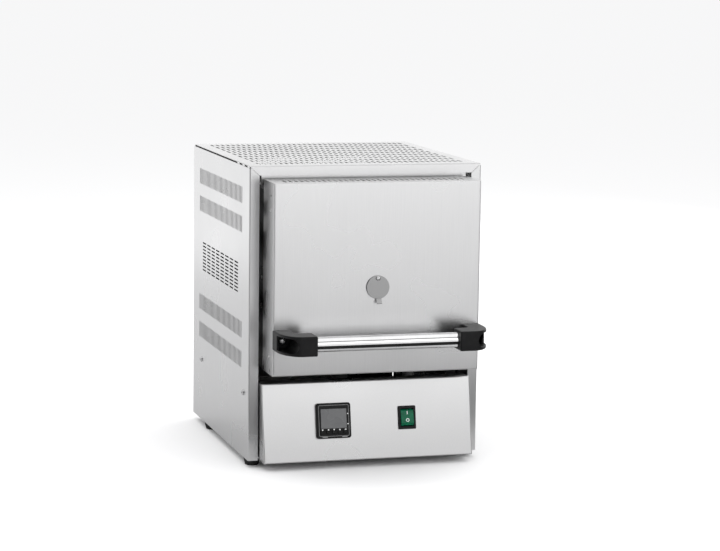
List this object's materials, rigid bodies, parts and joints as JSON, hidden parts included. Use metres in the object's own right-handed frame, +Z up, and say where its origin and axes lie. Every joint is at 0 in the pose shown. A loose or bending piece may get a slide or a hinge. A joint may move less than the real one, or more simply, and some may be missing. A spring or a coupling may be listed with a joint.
{
  "type": "bench-top chamber kiln",
  "caption": "Bench-top stainless chamber kiln for small pottery, with a lift-up insulated door, perforated casing and a sloping control panel below.",
  "frame": {"origin": "on the floor, under the middle of the bounding box", "axes": "+X to the kiln's right seen from the front, +Y from the door to the rear panel, +Z up"},
  "size_m": [0.3304, 0.47, 0.41],
  "materials": {
    "stainless": "satin",
    "galvanised": "satin",
    "dark_steel": "matte",
    "zinc_screw": "satin",
    "chrome": "polished",
    "black_plastic": "satin",
    "rubber": "matte",
    "display": "gloss",
    "green_plastic": "gloss",
    "fibre": "matte",
    "brick": "matte",
    "hearth": "matte",
    "element": "matte",
    "aluminium": "satin",
    "relay_white": "satin"
  },
  "bodies": {
    "casing": {"left_side_panel": "stainless", "right_side_panel": "stainless", "top_panel": "stainless", "rear_panel": "stainless", "chamber_front_plate": "stainless", "control_panel": "stainless", "base_plate": "galvanised", "front_crossbar": "galvanised", "partition_plate": "dark_steel", "chamber_jacket": "dark_steel", "hinge_plate_left": "dark_steel", "hinge_plate_right": "dark_steel", "side_screw_left_front": "zinc_screw", "side_screw_left_rear": "zinc_screw", "side_screw_right_front": "zinc_screw", "side_screw_right_rear": "zinc_screw", "temperature_controller": "black_plastic", "power_switch_frame": "black_plastic", "power_inlet": "black_plastic", "foot_front_left": "rubber", "foot_front_right": "rubber", "foot_rear_left": "rubber", "foot_rear_right": "rubber", "controller_display": "display", "chamber_insulation": "fibre", "chamber_floor": "brick", "chamber_roof": "brick", "chamber_left_wall": "brick", "chamber_right_wall": "brick", "chamber_back_wall": "brick", "thermocouple": "brick", "hearth_plate": "hearth", "heating_element_left": "element", "heating_element_right": "element", "relay_heat_sink": "aluminium", "solid_state_relay": "relay_white", "terminal_block": "relay_white"},
    "door": {"door_shell": "stainless", "door_back_plate": "stainless", "door_insulation": "fibre", "sight_tube": "brick", "sight_cover_screw": "zinc_screw", "handle_tube": "chrome", "handle_bracket_left": "black_plastic", "handle_bracket_right": "black_plastic", "handle_screw_left": "zinc_screw", "handle_screw_right": "zinc_screw", "door_bracket_left": "dark_steel", "door_bracket_right": "dark_steel"},
    "sight_cover": {"sight_cover": "stainless"},
    "power_rocker": {"power_rocker": "green_plastic"},
    "upper_arm_left": {"upper_arm_left": "dark_steel"},
    "lower_arm_left": {"lower_arm_left": "dark_steel"},
    "upper_arm_right": {"upper_arm_right": "dark_steel"},
    "lower_arm_right": {"lower_arm_right": "dark_steel"},
    "controller_key_1": {"controller_key_1": "black_plastic"},
    "controller_key_2": {"controller_key_2": "black_plastic"},
    "controller_key_3": {"controller_key_3": "black_plastic"},
    "controller_key_4": {"controller_key_4": "black_plastic"},
    "controller_key_5": {"controller_key_5": "black_plastic"}
  },
  "joints": [
    {"name": "lower_arm_left_swing", "type": "hinge", "parent": "casing", "child": "lower_arm_left", "pos_m": [-0.1335, -0.073, 0.258], "axis": [-1, 0, 0], "range_deg": [0, 140]},
    {"name": "door_level", "type": "hinge", "parent": "lower_arm_left", "child": "door", "pos_m": [-0.1335, -0.073, 0.143], "axis": [-1, 0, 0], "range_deg": [-140, 0]},
    {"name": "lower_arm_right_swing", "type": "hinge", "parent": "casing", "child": "lower_arm_right", "pos_m": [0.1335, -0.073, 0.258], "axis": [-1, 0, 0], "range_deg": [0, 140]},
    {"name": "upper_arm_left_swing", "type": "hinge", "parent": "casing", "child": "upper_arm_left", "pos_m": [-0.1335, -0.097, 0.335], "axis": [-1, 0, 0], "range_deg": [0, 140]},
    {"name": "upper_arm_right_swing", "type": "hinge", "parent": "casing", "child": "upper_arm_right", "pos_m": [0.1335, -0.097, 0.335], "axis": [-1, 0, 0], "range_deg": [0, 140]},
    {"name": "sight_cover_swing", "type": "hinge", "parent": "door", "child": "sight_cover", "pos_m": [0, -0.1746, 0.2636], "axis": [0, 1, 0], "range_deg": [-120, 120]},
    {"name": "power_rocker_tilt", "type": "hinge", "parent": "casing", "child": "power_rocker", "pos_m": [0.055, -0.13372, 0.06455], "axis": [1, 0, 0], "range_deg": [0, 16]},
    {"name": "controller_key_1_press", "type": "slide", "parent": "casing", "child": "controller_key_1", "axis": [0, 0.9821, -0.1884], "range_m": [0, 0.0006], "stiffness_N_per_m": 500, "springref_m": -0.001},
    {"name": "controller_key_2_press", "type": "slide", "parent": "casing", "child": "controller_key_2", "axis": [0, 0.9821, -0.1884], "range_m": [0, 0.0006], "stiffness_N_per_m": 500, "springref_m": -0.001},
    {"name": "controller_key_3_press", "type": "slide", "parent": "casing", "child": "controller_key_3", "axis": [0, 0.9821, -0.1884], "range_m": [0, 0.0006], "stiffness_N_per_m": 500, "springref_m": -0.001},
    {"name": "controller_key_4_press", "type": "slide", "parent": "casing", "child": "controller_key_4", "axis": [0, 0.9821, -0.1884], "range_m": [0, 0.0006], "stiffness_N_per_m": 500, "springref_m": -0.001},
    {"name": "controller_key_5_press", "type": "slide", "parent": "casing", "child": "controller_key_5", "axis": [0, 0.9821, -0.1884], "range_m": [0, 0.0006], "stiffness_N_per_m": 500, "springref_m": -0.001}
  ],
  "couplings": [
    {"joint": "door_level", "follows": "lower_arm_left_swing", "ratio": -1},
    {"joint": "lower_arm_right_swing", "follows": "lower_arm_left_swing", "ratio": 1},
    {"joint": "upper_arm_left_swing", "follows": "lower_arm_left_swing", "ratio": 1},
    {"joint": "upper_arm_right_swing", "follows": "lower_arm_left_swing", "ratio": 1}
  ]
}
